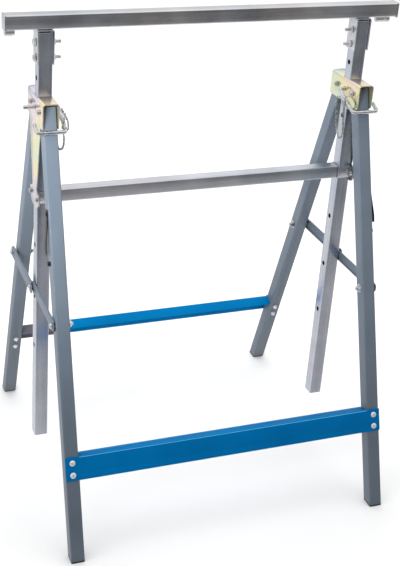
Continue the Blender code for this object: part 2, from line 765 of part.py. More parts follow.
# ---------------------------------------------------------------- assembly
def build():
    clear_scene()
    root = make_empty("head_frame", (0.0, 0.0, 0.0))
    slide = make_empty("height_slide", (0.0, 0.0, 0.0), parent=root)
    build_head(root)
    build_top(slide)
    for side, word in ((-1, "left"), (1, "right")):
        pivot = make_empty("pin_axis_" + word, (0.0, 0.0, PIN_HEIGHT), parent=root)
        build_pin(pivot, side, word)
    for row, row_word in ((-1, "front"), (1, "back")):
        splay = row * LEG_SPLAY
        fold = make_empty("fold_axis_" + row_word, (0.0, row * LEG_PIVOT_Y, PIN_HEIGHT), splay, root)
        build_frame(fold, row, row_word)
        stay = make_empty("stay_axis_" + row_word, (0.0, 0.0, -STAY_PIVOT), -splay, fold)
        build_stays(stay, row, row_word)


build()
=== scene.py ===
import json
import math

import bmesh
import bpy
from mathutils import Matrix, Vector


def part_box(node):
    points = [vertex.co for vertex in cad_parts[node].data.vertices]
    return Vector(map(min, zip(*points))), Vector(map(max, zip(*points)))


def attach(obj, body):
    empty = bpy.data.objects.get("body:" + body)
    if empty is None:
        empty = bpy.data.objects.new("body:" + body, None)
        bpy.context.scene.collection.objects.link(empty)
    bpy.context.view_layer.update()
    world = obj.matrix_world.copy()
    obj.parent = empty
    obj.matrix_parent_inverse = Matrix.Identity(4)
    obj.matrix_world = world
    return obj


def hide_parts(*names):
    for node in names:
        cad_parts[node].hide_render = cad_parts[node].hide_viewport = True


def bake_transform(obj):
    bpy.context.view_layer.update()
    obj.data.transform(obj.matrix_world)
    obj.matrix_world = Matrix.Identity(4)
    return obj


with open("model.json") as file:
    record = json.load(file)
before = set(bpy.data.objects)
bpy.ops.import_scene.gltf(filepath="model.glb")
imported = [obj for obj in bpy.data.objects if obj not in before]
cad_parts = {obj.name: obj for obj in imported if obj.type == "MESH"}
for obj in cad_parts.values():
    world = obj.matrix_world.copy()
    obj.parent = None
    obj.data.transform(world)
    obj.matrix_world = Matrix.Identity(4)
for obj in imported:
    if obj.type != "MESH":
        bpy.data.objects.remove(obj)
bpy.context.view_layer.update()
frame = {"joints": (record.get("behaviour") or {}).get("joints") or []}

JOINTS = {joint["name"]: Vector(joint["pos_m"]) for joint in frame["joints"] if "pos_m" in joint}
SIDES = (("left", -1), ("right", 1))
ROWS = (("front", -1), ("back", 1))


def node_box(node):
    low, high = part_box(node)
    return Vector(low), Vector(high)


def node_centre(node):
    low, high = node_box(node)
    return (low + high) / 2.0


# ---- sizes read off the frame
SIDE_X = node_centre("post_right").x
POST_LOW, POST_HIGH = node_box("post_right")
POST_SIZE = POST_HIGH.y - POST_LOW.y
BAR_LOW = node_box("top_bar")[0]
MIDDLE_Z = node_centre("middle_bar").z
BRACKET_LOW, BRACKET_HIGH = node_box("head_bracket_right")
SADDLE_LOW, SADDLE_HIGH = node_box("saddle_right")
GUIDE_LOW, GUIDE_HIGH = node_box("post_guide_right")
FOLD = {"front": JOINTS["fold"], "back": JOINTS["fold_back"]}
STAY = {"front": JOINTS["stay_front"], "back": JOINTS["stay_back"]}
PIN_Z = FOLD["front"].z
STAY_DOWN = (STAY["front"] - FOLD["front"]).length
SPLAY = math.atan2(abs(STAY["front"].y - FOLD["front"].y), FOLD["front"].z - STAY["front"].z)
STAY_LENGTH = abs(STAY["front"].y)

# sizes of the sheet metal, tubes and fasteners
SHEET = WALL = 0.0015
GAP = 0.0003
BAR_CORNER, POST_CORNER, LEG_CORNER = 0.0024, 0.0021, 0.0026
BOLT_HOLE, PIN_HOLE, GUIDE_HOLE, SCREW_HOLE = 0.0033, 0.0045, 0.0027, 0.0025
# bevel of a sheet's edges and half the length of a drill through both walls
EASE, THROUGH = 0.0003, 0.030
CHANNEL_HALF = (SADDLE_HIGH.x - SADDLE_LOW.x) / 2.0
CHANNEL_FACE = CHANNEL_HALF + GAP
LEG_HALF = 0.0120
LEG_FACE = LEG_HALF + GAP
LEG_TOP = node_box("leg_front_right")[1].z
FOOT_HEIGHT = 0.0020
PLATE_BOTTOM, PLATE_CORNER = 0.6920, 0.0050
# the bracket's tongue: its shoulder, its neck and the lobe at its foot
SHOULDER_Z, NECK_Z, LOBE_Z, LOBE_DROP = 0.6890, 0.5740, 0.5650, 0.0250
SHOULDER_HALF, NECK_HALF, LOBE_HALF = 0.0365, 0.0135, 0.0300
CROSS_TOP, CROSS_BOTTOM = 0.5740, 0.6150
CROSS_HALF_X = {word: node_box(word + "_cross_bar")[1].x for word, row in ROWS}
CROSS_FLANGE, CROSS_FLANGE_HALF_X = 0.0260, 0.2714
CROSS_SCREWS = {"upper": 0.5842, "lower": 0.6052}
SCREW_X = SIDE_X - 0.0002
HOLE_HEIGHTS = (0.7648, 0.7155, 0.6648, 0.5648, 0.4648, 0.3648, 0.2648)
SADDLE_BOLTS = {level: node_centre("saddle_bolt_" + level + "_right").z for level in ("upper", "lower")}
GUIDE_BOLT_Y = node_centre("guide_bolt_back_right").y
# bends of the right pin's handle, with heights from the pin's axis
HANDLE = (
    (0.2600, 0.0, 0.0), (0.2600, -0.0580, -0.0255),
    (0.3078, -0.0580, -0.0255), (0.3078, -0.0380, -0.0165),
)
PIN_RADIUS = 0.0034


# ---- mesh helpers
def skin(rings, closed=False):
    data = bmesh.new()
    count = len(rings[0])
    loops = [[data.verts.new(point) for point in ring] for ring in rings]
    last = len(loops) if closed else len(loops) - 1
    for index in range(last):
        near = loops[index]
        far = loops[(index + 1) % len(loops)]
        for step in range(count):
            following = (step + 1) % count
            data.faces.new((near[step], near[following], far[following], far[step]))
    if not closed:
        data.faces.new(loops[0])
        data.faces.new(loops[-1])
    bmesh.ops.recalc_face_normals(data, faces=data.faces)
    return data


def rounded_rect(half_a, half_b, radius):
    steps = 7
    points = []
    for sign_a, sign_b, start in ((1, 1, 0.0), (-1, 1, 90.0), (-1, -1, 180.0), (1, -1, 270.0)):
        for step in range(steps + 1):
            angle = math.radians(start + 90.0 * step / steps)
            a = sign_a * (half_a - radius) + radius * math.cos(angle)
            points.append((a, sign_b * (half_b - radius) + radius * math.sin(angle)))
    return points


def square_tube(half, corner, low, high, place):
    """Hollow tube with open, softly broken ends; low and high give the ends for a point."""
    soft = 0.0004
    outer = rounded_rect(half, half, corner)
    eased = rounded_rect(half - soft, half - soft, corner - soft)
    inner = rounded_rect(half - WALL, half - WALL, max(corner - WALL, 0.0006))
    stack = (
        (eased, low, 0.0), (outer, low, soft), (outer, high, -soft),
        (eased, high, 0.0), (inner, high, 0.0), (inner, low, 0.0),
    )
    rings = [[place(a, b, end(a, b) + shift) for a, b in profile] for profile, end, shift in stack]
    return skin(rings, closed=True)


def flat_end(height):
    return lambda a, b: height


def axis_x(a, b, x):
    return (x, a, b)


def axis_z(a, b, z):
    return (a, b, z)


def across_y(u, v, w):
    return (u, w, v)


def turned(sections, sides=32):
    """Discs stacked along X, each (x, radius), or (x, radius, "hex") for a six-sided one."""
    rings = []
    for along, radius, *six_sided in sections:
        ring = []
        for step in range(sides):
            angle = 2.0 * math.pi * step / sides
            reach = radius
            if six_sided:
                offset = (angle + math.pi / 6.0) % (math.pi / 3.0) - math.pi / 6.0
                reach = radius * math.cos(math.pi / 6.0) / math.cos(math.pi / 6.0 - abs(offset))
            ring.append((along, reach * math.cos(angle), reach * math.sin(angle)))
        rings.append(ring)
    return skin(rings)


def threaded(start, end, radius, pitch=0.0010):
    """Screw thread with a true helix between two places along X, tapering at the end."""
    depth, sides = 0.00032, 20
    turns = abs(end - start) / pitch
    count = max(int(turns * 4), 6)
    rings = []
    for index in range(count + 1):
        share = index / count
        along = start + (end - start) * share
        taper = min(1.0, (1.0 - share) * turns * 0.8 + 0.72)
        ring = []
        for step in range(sides):
            angle = 2.0 * math.pi * step / sides
            phase = (share * turns - step / sides) % 1.0
            reach = (radius - depth * abs(2.0 * phase - 1.0)) * taper
            ring.append((along, reach * math.cos(angle), reach * math.sin(angle)))
        rings.append(ring)
    return skin(rings)


def rounded_path(points, radius, steps):
    path = [Vector(points[0])]
    for index in range(1, len(points) - 1):
        corner = Vector(points[index])
        back = (Vector(points[index - 1]) - corner).normalized()
        ahead = (Vector(points[index + 1]) - corner).normalized()
        half_angle = back.angle(ahead) / 2.0
        reach = radius / math.tan(half_angle)
        centre = corner + (back + ahead).normalized() * radius / math.sin(half_angle)
        first = corner + back * reach - centre
        final = corner + ahead * reach - centre
        sweep = first.angle(final)
        for step in range(steps + 1):
            share = step / steps
            mixed = first * math.sin((1.0 - share) * sweep) + final * math.sin(share * sweep)
            path.append(centre + mixed / math.sin(sweep))
    path.append(Vector(points[-1]))
    return path


def swept(points, radii, sides, closed=False):
    """Round section swept along points; radii is one number or one per point."""
    count = len(points)
    if not isinstance(radii, (list, tuple)):
        radii = [radii] * count
    rings = []
    direction = (points[1] - points[0]).normalized()
    side = direction.orthogonal().normalized()
    for index, point in enumerate(points):
        before = points[index - 1] if closed or index else points[0]
        after = points[(index + 1) % count] if closed or index < count - 1 else points[-1]
        heading = (after - before).normalized()
        side = (direction.rotation_difference(heading) @ side).normalized()
        direction = heading
        other = direction.cross(side).normalized()
        ring = []
        for step in range(sides):
            angle = 2.0 * math.pi * step / sides
            ring.append(point + radii[index] * (math.cos(angle) * side + math.sin(angle) * other))
        rings.append(ring)
    return skin(rings, closed=closed)


def sheet_along(flat, extent, place, thickness=SHEET):
    """Sheet following a flat path of (u, v); extent gives its two edges at each point."""
    rings = []
    for index, point in enumerate(flat):
        before = flat[max(index - 1, 0)]
        after = flat[min(index + 1, len(flat) - 1)]
        along = (after - before).normalized()
        normal = Vector((-along.y, along.x, 0.0)) * thickness / 2.0
        low, high = extent(point.x, point.y)
        left = point + normal
        right = point - normal
        corners = ((left, low), (left, high), (right, high), (right, low))
        rings.append([place(spot.x, spot.y, edge) for spot, edge in corners])
    return skin(rings)


def flat_path(points, radius, steps=6, extras=()):
    bent = rounded_path([(u, v, 0.0) for u, v in points], radius, steps)
    return bent + [Vector((u, v, 0.0)) for u, v in extras]


def block(low, high):
    (left, front, bottom), (right, back, top) = low, high
    outline = ((left, front), (right, front), (right, back), (left, back))
    return skin([[(x, y, z) for x, y in outline] for z in (bottom, top)])


def moved(data, offset=(0.0, 0.0, 0.0), matrix=None):
    if matrix is not None:
        bmesh.ops.transform(data, matrix=matrix, verts=data.verts)
        if matrix.determinant() < 0.0:
            bmesh.ops.reverse_faces(data, faces=data.faces)
    bmesh.ops.translate(data, verts=data.verts, vec=offset)
    return data


def joined(*parts):
    """Several separate closed skins in one mesh."""
    whole = bmesh.new()
    for part in parts:
        mesh = bpy.data.meshes.new("joining")
        part.to_mesh(mesh)
        part.free()
        whole.from_mesh(mesh)
        bpy.data.meshes.remove(mesh)
    return whole


def to_mesh(name, data):
    mesh = bpy.data.meshes.new(name)
    data.to_mesh(mesh)
    data.free()
    return mesh


def in_scene(name, data):
    item = bpy.data.objects.new(name, data)
    bpy.context.collection.objects.link(item)
    return item


def baked(data, tools, bevel=0.0):
    """Apply booleans and a bevel to a skin and return the finished mesh."""
    subject = in_scene("working", to_mesh("working", data))
    helpers = []
    for operation, tool_data in tools:
        tool = in_scene("tool", to_mesh("tool", tool_data))
        helpers.append(tool)
        modifier = subject.modifiers.new("shape", "BOOLEAN")
        modifier.object = tool
        modifier.operation = operation
        modifier.solver = "EXACT"
    if bevel:
        modifier = subject.modifiers.new("ease", "BEVEL")
        modifier.width = bevel
        modifier.segments = 2
        modifier.limit_method = "ANGLE"
        modifier.angle_limit = math.radians(35.0)
    graph = bpy.context.evaluated_depsgraph_get()
    mesh = bpy.data.meshes.new_from_object(subject.evaluated_get(graph))
    for item in helpers + [subject]:
        old = item.data
        bpy.data.objects.remove(item, do_unlink=True)
        bpy.data.meshes.remove(old)
    return mesh


def holes(places):
    """Cutters for round holes: (centre, axis letter, radius, half length)."""
    parts = []
    for centre, axis, radius, half in places:
        drill = turned(((-half, radius), (half, radius)))
        if axis == "Y":
            moved(drill, matrix=Matrix.Rotation(math.pi / 2.0, 4, "Z"))
        parts.append(moved(drill, centre))
    return joined(*parts)


def piece(name, mesh, finish, body, stands_for=None, matrix=None):
    """One part of the scene; its finish is a material and the name of a slot, and the slot's name is not
    used.
    """
    material, slot = finish
    if isinstance(mesh, bmesh.types.BMesh):
        mesh = to_mesh(name, mesh)
    mesh.name = name
    mesh.shade_smooth()
    mesh.set_sharp_from_angle(angle=math.radians(38.0))
    mesh.materials.clear()
    mesh.materials.append(material)
    item = in_scene(name, mesh)
    if matrix is not None:
        mesh.transform(matrix)
    if body:
        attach(item, body)
    if stands_for:
        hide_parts(stands_for)
    return item


def facing(side):
    return Matrix.Rotation(0.0 if side > 0 else math.pi, 4, "Z")


def seat(side, y=0.0, z=0.0):
    """Place on the line of the posts at one end, with X outwards."""
    return Matrix.Translation((side * SIDE_X, y, z)) @ facing(side)


# ---- material helpers
EVEN = (1.0, 1.0, 1.0)
ALONG_X, ALONG_Z = (0.03, 1.0, 1.0), (1.0, 1.0, 0.03)


def nodes_of(name):
    material = bpy.data.materials.new(name)
    material.use_nodes = True
    tree = material.node_tree
    shader = tree.nodes["Principled BSDF"]
    return material, tree, shader


def coordinates(tree, scale=(1.0, 1.0, 1.0), kind="Object"):
    source = tree.nodes.new("ShaderNodeTexCoord")
    mapping = tree.nodes.new("ShaderNodeMapping")
    mapping.inputs["Scale"].default_value = scale
    tree.links.new(source.outputs[kind], mapping.inputs["Vector"])
    return mapping.outputs["Vector"]


def axes_of(tree, vector):
    split = tree.nodes.new("ShaderNodeSeparateXYZ")
    tree.links.new(vector, split.inputs["Vector"])
    return split.outputs


def grey(level):
    return (level, level, level)


def noise(tree, vector, scale, detail, roughness=0.55, distortion=0.0):
    texture = tree.nodes.new("ShaderNodeTexNoise")
    texture.inputs["Scale"].default_value = scale
    texture.inputs["Detail"].default_value = detail
    texture.inputs["Roughness"].default_value = roughness
    texture.inputs["Distortion"].default_value = distortion
    tree.links.new(vector, texture.inputs["Vector"])
    return texture.outputs["Fac"]


def ramp(tree, factor, stops):
    item = tree.nodes.new("ShaderNodeValToRGB")
    elements = item.color_ramp.elements
    while len(elements) < len(stops):
        elements.new(0.5)
    for element, (position, colour) in zip(elements, stops):
        element.position = position
        element.color = (*colour, 1.0)
    tree.links.new(factor, item.inputs["Fac"])
    return item.outputs["Color"]


def remap(tree, factor, low, high, start=0.3, stop=0.7):
    item = tree.nodes.new("ShaderNodeMapRange")
    item.inputs["From Min"].default_value = start
    item.inputs["From Max"].default_value = stop
    item.inputs["To Min"].default_value = low
    item.inputs["To Max"].default_value = high
    tree.links.new(factor, item.inputs["Value"])
    return item.outputs["Result"]


def fill(tree, socket, value):
    """Give a socket a node's output, a colour or a number."""
    if isinstance(value, bpy.types.NodeSocket):
        tree.links.new(value, socket)
    elif isinstance(value, tuple):
        socket.default_value = (*value, 1.0)
    else:
        socket.default_value = value


def mix_colour(tree, factor, first, second, blend="MIX"):
    item = tree.nodes.new("ShaderNodeMix")
    item.data_type = "RGBA"
    item.blend_type = blend
    for name, value in (("Factor", factor), ("A", first), ("B", second)):
        fill(tree, item.inputs[name], value)
    return item.outputs["Result"]


def math_node(tree, operation, first, second):
    item = tree.nodes.new("ShaderNodeMath")
    item.operation = operation
    for socket, value in zip(item.inputs, (first, second)):
        fill(tree, socket, value)
    return item.outputs["Value"]


def bump(tree, shader, height, strength, distance):
    item = tree.nodes.new("ShaderNodeBump")
    item.inputs["Strength"].default_value = strength
    item.inputs["Distance"].default_value = distance
    tree.links.new(height, item.inputs["Height"])
    tree.links.new(item.outputs["Normal"], shader.inputs["Normal"])


def paint(name, dark, light, rough_low, rough_high, gloss, coat):
    """Powder coat: fine orange peel, faint cloudy tone and a soft gloss."""
    material, tree, shader = nodes_of(name)
    vector = coordinates(tree)
    cloud = noise(tree, vector, 9.0, 3.0)
    speck = noise(tree, vector, 900.0, 2.0)
    tone = mix_colour(tree, remap(tree, cloud, 0.0, 1.0, 0.35, 0.65), dark, light)
    fleck = remap(tree, speck, 0.0, 0.16, 0.55, 0.8)
    lighter = tuple(min(channel * 1.5 + 0.02, 1.0) for channel in light)
    tree.links.new(mix_colour(tree, fleck, tone, lighter), shader.inputs["Base Color"])
    tree.links.new(remap(tree, cloud, rough_low, rough_high), shader.inputs["Roughness"])
    shader.inputs["Specular IOR Level"].default_value = gloss
    shader.inputs["Coat Weight"].default_value = coat
    shader.inputs["Coat Roughness"].default_value = 0.22
    peel = noise(tree, vector, 420.0, 2.0)
    bump(tree, shader, peel, 0.18, 0.0002)
    return material


def zinc(name, slot, dark, light, stretch, rough, patch, cast=(EVEN, EVEN), metal=1.0):
    """Bright zinc plate with rolling streaks along one axis, cloudy patches and fine scratches."""
    material, tree, shader = nodes_of(name)
    vector = coordinates(tree)
    along = coordinates(tree, stretch)
    streak = noise(tree, along, 60.0, 5.0, 0.65)
    cloud = noise(tree, vector, patch, 4.0, 0.6)
    fine = noise(tree, along, 260.0, 3.0)
    halves = [math_node(tree, "MULTIPLY", part, 0.5) for part in (streak, cloud)]
    middle = tuple((a + b) / 2.0 for a, b in zip(dark, light))
    tone = ramp(tree, math_node(tree, "ADD", *halves), ((0.36, dark), (0.5, middle), (0.64, light)))
    drift = noise(tree, vector, 5.0, 3.0, 0.6)
    tint = mix_colour(tree, remap(tree, drift, 0.0, 1.0, 0.42, 0.58), *cast)
    tree.links.new(mix_colour(tree, 1.0, tone, tint, "MULTIPLY"), shader.inputs["Base Color"])
    shader.inputs["Metallic"].default_value = metal
    sheen = math_node(tree, "ADD", remap(tree, cloud, *rough), remap(tree, fine, -0.03, 0.05))
    tree.links.new(sheen, shader.inputs["Roughness"])
    bump(tree, shader, fine, 0.12, 0.0001)
    return material, slot


def yellow_zinc(name):
    """Passivated zinc whose film drifts from lilac and rose to straw and pale green."""
    material, tree, shader = nodes_of(name)
    vector = coordinates(tree)
    drift = noise(tree, vector, 13.0, 2.0, 0.45, 0.5)
    cloud = noise(tree, vector, 45.0, 4.0)
    place = axes_of(tree, vector)
    across = remap(tree, place["X"], -0.05, 0.06, -0.28, 0.28)
    down = remap(tree, place["Z"], 0.075, -0.03, 0.60, 0.73)
    slope = math_node(tree, "ADD", across, down)
    film = math_node(tree, "ADD", remap(tree, drift, 0.36, 0.64, 0.30, 0.70), slope)
    film = math_node(tree, "ADD", film, remap(tree, cloud, -0.015, 0.015))
    tone = ramp(tree, film, (
        (0.34, (0.74, 0.71, 0.86)), (0.43, (0.93, 0.79, 0.76)), (0.50, (0.95, 0.80, 0.54)),
        (0.57, (0.82, 0.86, 0.52)), (0.64, (0.72, 0.82, 0.72)), (0.72, (0.72, 0.76, 0.86)),
    ))
    thin = remap(tree, place["Z"], 0.9, 0.0, 0.572, 0.600)
    tone = mix_colour(tree, thin, tone, (0.62, 0.61, 0.68))
    # painted shade: the tongue's inner face, below the cap, is darkened to stand in for the shadow between
    # post and leg
    inward = math_node(tree, "MULTIPLY", axes_of(tree, coordinates(tree, kind="Normal"))["X"], place["X"])
    below = remap(tree, place["Z"], 1.0, 0.0, 0.684, 0.690)
    tongue_painted_shade = math_node(tree, "MULTIPLY", remap(tree, inward, 1.0, 0.0, -0.22, -0.10), below)
    tree.links.new(mix_colour(tree, tongue_painted_shade, tone, (0.20, 0.25, 0.25)), shader.inputs["Base Color"])
    shader.inputs["Metallic"].default_value = 0.92
    tree.links.new(remap(tree, cloud, 0.14, 0.26), shader.inputs["Roughness"])
    fine = noise(tree, vector, 700.0, 2.0)
    bump(tree, shader, fine, 0.06, 0.0001)
    return material


def coat_of(material):
    """Node tree, shader and present colour of a painted material."""
    tree = material.node_tree
    shader = tree.nodes["Principled BSDF"]
    return tree, shader, shader.inputs["Base Color"].links[0].from_socket


def painted_top_light_and_fold_highlight(material, flat, edge):
    """Painted light on a painted bar: faces that look up are coloured lighter, as if lit from above, and a
    painted highlight runs as a thin bright line along the fold.
    """
    tree, shader, coat = coat_of(material)
    upward = axes_of(tree, coordinates(tree, kind="Normal"))["Z"]
    # painted light: lighter colour on the faces that look up
    tone = mix_colour(tree, remap(tree, upward, 0.0, 1.0, 0.93, 0.945), coat, flat)
    # painted highlight: thin bright line where the normal turns through the fold
    line = ramp(tree, upward, ((0.62, grey(0.0)), (0.72, grey(1.0)), (0.82, grey(1.0)), (0.90, grey(0.0))))
    tree.links.new(mix_colour(tree, line, tone, edge), shader.inputs["Base Color"])
    return material


def dark_grey_end(material, limit, colour):
    """Dark grey stretch beyond a place along X, on the faces of a painted bar that look up and inwards."""
    tree, shader, coat = coat_of(material)
    beyond = remap(tree, axes_of(tree, coordinates(tree))["X"], 1.0, 0.0, limit - 0.002, limit + 0.002)
    backward = axes_of(tree, coordinates(tree, kind="Normal"))["Y"]
    inner = math_node(tree, "MULTIPLY", beyond, remap(tree, backward, 1.0, 0.0, -0.2, -0.1))
    tree.links.new(mix_colour(tree, inner, coat, colour), shader.inputs["Base Color"])
    return material


def plastic(name, colour):
    material, tree, shader = nodes_of(name)
    vector = coordinates(tree)
    grain = noise(tree, vector, 800.0, 3.0)
    scuff = noise(tree, vector, 60.0, 4.0)
    lighter = tuple(channel * 2.2 + 0.01 for channel in colour)
    tone = mix_colour(tree, remap(tree, scuff, 0.0, 0.5, 0.5, 0.8), colour, lighter)
    tree.links.new(tone, shader.inputs["Base Color"])
    tree.links.new(remap(tree, scuff, 0.48, 0.66), shader.inputs["Roughness"])
    bump(tree, shader, grain, 0.25, 0.0002)
    return material


def floor_material():
    material, tree, shader = nodes_of("pale_floor")
    vector = coordinates(tree)
    cloud = noise(tree, vector, 1.5, 3.0)
    tree.links.new(mix_colour(tree, cloud, grey(0.84), grey(0.87)), shader.inputs["Base Color"])
    tree.links.new(remap(tree, cloud, 0.75, 0.85), shader.inputs["Roughness"])
    return material


# finishes: a material and the name of a slot
GREY_COAT = paint("grey_powder_coat", (0.093, 0.120, 0.152), (0.111, 0.138, 0.173), 0.36, 0.46, 0.42, 0.08)
FRONT_COAT = paint("blue_powder_coat", (0.0, 0.116, 0.318), (0.0, 0.134, 0.360), 0.34, 0.44, 0.012, 0.0)
BACK_COAT = paint("blue_powder_coat_back", (0.0, 0.138, 0.355), (0.0, 0.154, 0.382), 0.34, 0.44, 0.012, 0.0)
GREY = (GREY_COAT, "grey_paint")
BLUES = {
    # the front bar's coat, with painted top light and a painted fold highlight
    "front": (painted_top_light_and_fold_highlight(FRONT_COAT, (0.0, 0.155, 0.380), (0.12, 0.36, 0.56)), "blue_paint"),
    "back": (dark_grey_end(BACK_COAT, -0.188, (0.105, 0.105, 0.125)), "blue_paint"),
}
WARM, COOL, MILD = (1.0, 0.96, 0.94), (0.92, 0.96, 1.0), (0.98, 0.97, 1.0)
TUBE_X = zinc(
    "zinc_tube_along_x", "zinc_tube", (0.48, 0.48, 0.50), (0.92, 0.92, 0.94),
    ALONG_X, (0.22, 0.36), 6.0, (WARM, COOL),
)
TUBE_MIDDLE = zinc(
    "zinc_tube_middle", "zinc_tube", (0.56, 0.57, 0.60), (0.93, 0.94, 0.97),
    ALONG_X, (0.24, 0.38), 6.0, (MILD, COOL),
)
TUBE_Z = zinc(
    "zinc_tube_along_z", "zinc_tube", (0.50, 0.51, 0.56), (0.76, 0.78, 0.84),
    ALONG_Z, (0.18, 0.32), 9.0, (MILD, COOL),
)
SHEET_ZINC = zinc(
    "zinc_sheet", "bright_zinc_sheet", (0.60, 0.62, 0.65), (0.82, 0.83, 0.85), EVEN, (0.20, 0.34), 18.0,
)
BOLT_ZINC = zinc("zinc_bolt", "bolt_zinc", (0.50, 0.51, 0.53), (0.85, 0.86, 0.87), EVEN, (0.18, 0.32), 120.0)
CHAIN_STEEL = zinc(
    "chain_steel", "chain_steel", (0.24, 0.25, 0.22), (0.78, 0.79, 0.74), EVEN, (0.18, 0.32), 160.0,
)
SCREW_ZINC = zinc(
    "zinc_screw", "bolt_zinc", (0.55, 0.56, 0.58), (0.95, 0.95, 0.96), EVEN, (0.30, 0.46), 300.0, metal=0.45,
)
SPRING = zinc(
    "dark_spring_steel", "dark_spring_steel", (0.035, 0.035, 0.040), (0.085, 0.085, 0.090),
    ALONG_Z, (0.34, 0.48), 60.0,
)
YELLOW = (yellow_zinc("yellow_zinc"), "yellow_zinc_sheet")
BLACK = (plastic("black_plastic", (0.018, 0.018, 0.020)), "black_plastic")


# ---- fasteners
def hex_head(start, radius, height, direction=1.0):
    """Sections of a chamfered hex head or nut, from its bearing face outwards."""
    flat = radius * 0.866
    end = start + direction * height
    return (
        (start, flat * 0.97), (start + direction * 0.0003, radius, "hex"),
        (end - direction * 0.0007, radius, "hex"), (end, flat * 0.93),
    )


def domed_head(start, radius, height, shoulder, crown):
    """Sections of a low round head; shoulder and crown are the radii of its last two steps."""
    return (
        (start, radius - 0.0001), (start + 0.0003, radius), (start + height - 0.0016, radius),
        (start + height - 0.0006, shoulder), (start + height, crown),
    )


def bolt_mesh(head, head_start, shank, nut_start, nut, tip, washer=None, collar=()):
    """Bolt along X with a head outside, a nut (radius, height) inside and a threaded tip."""
    nut_radius, nut_height = nut
    shaft = ((head_start + 0.0002, shank), *collar, (nut_start + 0.0002, shank))
    parts = [turned(head), turned(shaft)]
    inner = nut_start
    if washer:
        radius, height = washer
        parts.append(turned((
            (inner, radius - 0.0002), (inner - 0.0002, radius),
            (inner - height + 0.0002, radius), (inner - height, radius - 0.0002),
        ), 40))
        inner -= height
    parts.append(turned(hex_head(inner, nut_radius, nut_height, -1.0)))
    parts.append(threaded(inner - nut_height + 0.0004, tip, shank))
    return joined(*parts)


# ---- top assembly
def build_bar(name, node, finish, body):
    low, high = node_box(node)
    half = (high.z - low.z) / 2.0
    tube = square_tube(half, BAR_CORNER, flat_end(low.x), flat_end(high.x), axis_x)
    piece(name, tube, finish, body, node, Matrix.Translation((0.0, 0.0, node_centre(node).z)))


def build_end_stop(word, side):
    """Rounded end plate with its lip under the bar and a small round barrel."""
    low, high = node_box("end_stop_" + word)
    outer = max(abs(low.x), abs(high.x))
    near = min(abs(low.x), abs(high.x))
    plate_low = BAR_LOW.z - 0.0018
    half_z = (high.z - plate_low) / 2.0
    centre_z = plate_low + half_z
    profile = rounded_rect((high.y - low.y) / 2.0, half_z, 0.0018)
    plate = skin([[(x, a, centre_z + b) for a, b in profile] for x in (outer - 0.0020, outer)])
    lip_top = BAR_LOW.z - GAP
    lip = block((0.3150, -0.0040, lip_top - 0.0014), (outer - 0.0004, 0.0040, lip_top))
    start, knob, far = (0.3321, 0.3365, 0.3488) if side < 0 else (near, 0.3327, 0.3397)
    barrel = turned((
        (start, 0.0040), (start + 0.0009, 0.0050), (knob - 0.0008, 0.0050), (knob, 0.0046),
        (knob + 0.0004, 0.0053), (far - 0.0010, 0.0053), (far, 0.0044),
    ), 40)
    moved(barrel, (0.0, 0.0, low.z + 0.0053))
    mesh = baked(plate, (("UNION", lip), ("UNION", barrel)), EASE)
    piece("end_plate_" + word, mesh, TUBE_X, "top", "end_stop_" + word, facing(side))


def build_saddle(word, side):
    """Folded channel between the top bar and a post."""
    edge = CHANNEL_HALF - SHEET / 2.0
    crown = SADDLE_HIGH.z - SHEET / 2.0
    corners = ((-edge, SADDLE_LOW.z), (-edge, crown), (edge, crown), (edge, SADDLE_LOW.z))
    sheet = sheet_along(flat_path(corners, 0.0028), lambda u, v: (SADDLE_LOW.y, SADDLE_HIGH.y), across_y)
    cut = holes([((0.0, 0.0, z), "X", BOLT_HOLE, THROUGH) for z in SADDLE_BOLTS.values()])
    mesh = baked(sheet, (("DIFFERENCE", cut),), EASE)
    piece("saddle_channel_" + word, mesh, SHEET_ZINC, "top", "saddle_" + word, seat(side))


def build_post(word, side):
    tube = square_tube(POST_SIZE / 2.0, POST_CORNER, flat_end(POST_LOW.z), flat_end(POST_HIGH.z), axis_z)
    places = [((0.0, 0.0, z), "X", PIN_HOLE, THROUGH) for z in HOLE_HEIGHTS]
    places += [((0.0, 0.0, z), "X", BOLT_HOLE, THROUGH) for z in SADDLE_BOLTS.values()]
    mesh = baked(tube, (("DIFFERENCE", holes(places)),))
    piece("post_tube_" + word, mesh, TUBE_Z, "top", "post_" + word, seat(side))


def build_saddle_bolts(word, side):
    """Large hex head above; below it, a smaller one on a washer."""
    face = CHANNEL_FACE
    heads = {
        "upper": hex_head(face, 0.0072, 0.0040),
        "lower": (
            (face, 0.0073), (face + 0.0002, 0.0075), (face + 0.0011, 0.0075), (face + 0.0013, 0.0073),
            (face + 0.0013, 0.0058, "hex"), (face + 0.0034, 0.0058, "hex"), (face + 0.0040, 0.0047),
        ),
    }
    for level, z in SADDLE_BOLTS.items():
        mesh = bolt_mesh(heads[level], face, 0.0030, -face, (0.0062, 0.0042), -face - 0.0136)
        name = "saddle_bolt_" + level + "_" + word
        piece("top_" + name, mesh, BOLT_ZINC, "top", name, seat(side, z=z))


def build_top():
    build_bar("bar_tube", "top_bar", TUBE_X, "top")
    for word, side in SIDES:
        build_end_stop(word, side)
        build_saddle(word, side)
        build_post(word, side)
        build_saddle_bolts(word, side)


